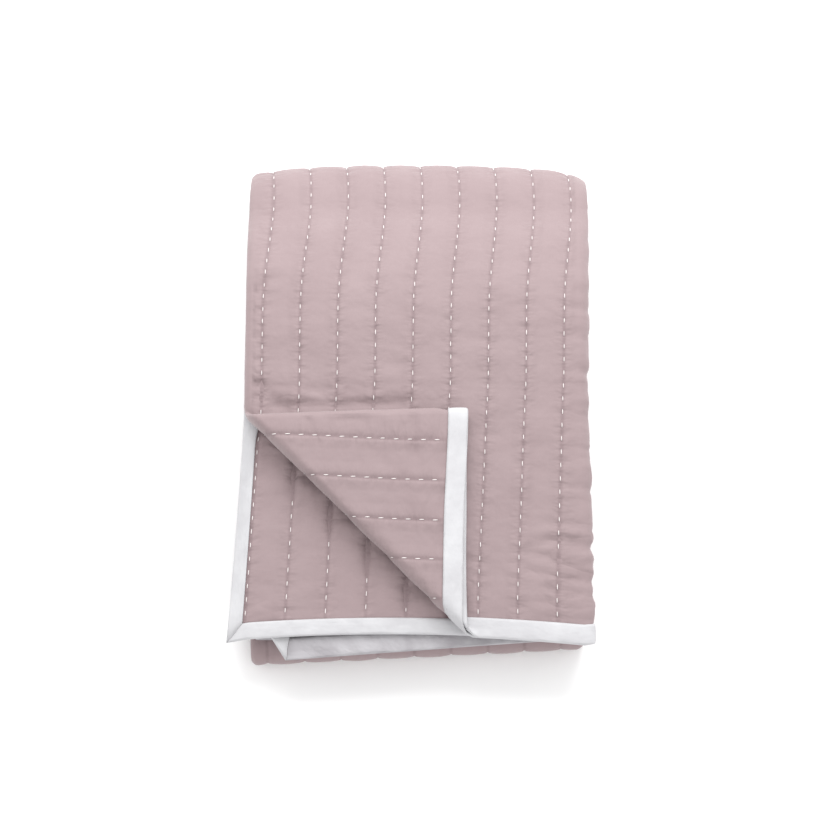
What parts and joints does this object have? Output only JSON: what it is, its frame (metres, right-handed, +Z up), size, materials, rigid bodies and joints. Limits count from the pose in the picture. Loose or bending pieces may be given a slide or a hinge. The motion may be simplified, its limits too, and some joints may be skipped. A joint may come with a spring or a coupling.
{
  "type": "folded bedspread",
  "caption": "Channel-quilted cotton bedspread with a bound edge, folded into a flat stack with a soft rounded back and the front left corner turned back.",
  "frame": {"origin": "on the resting surface, under the middle of the folded stack", "axes": "+X to the right along the bound ends, +Y to the rounded back fold, +Z up through the layers"},
  "size_m": [0.4152, 0.6049, 0.1244],
  "materials": {
    "quilted_cotton": "fine plain weave with a faint sheen",
    "binding_cotton": "matt white cotton"
  },
  "bodies": {
    "root": {"quilted_panel": "quilted_cotton", "binding_top_end": "binding_cotton", "binding_lower_end": "binding_cotton", "binding_outer_side": "binding_cotton", "binding_inner_side": "binding_cotton"}
  },
  "joints": []
}
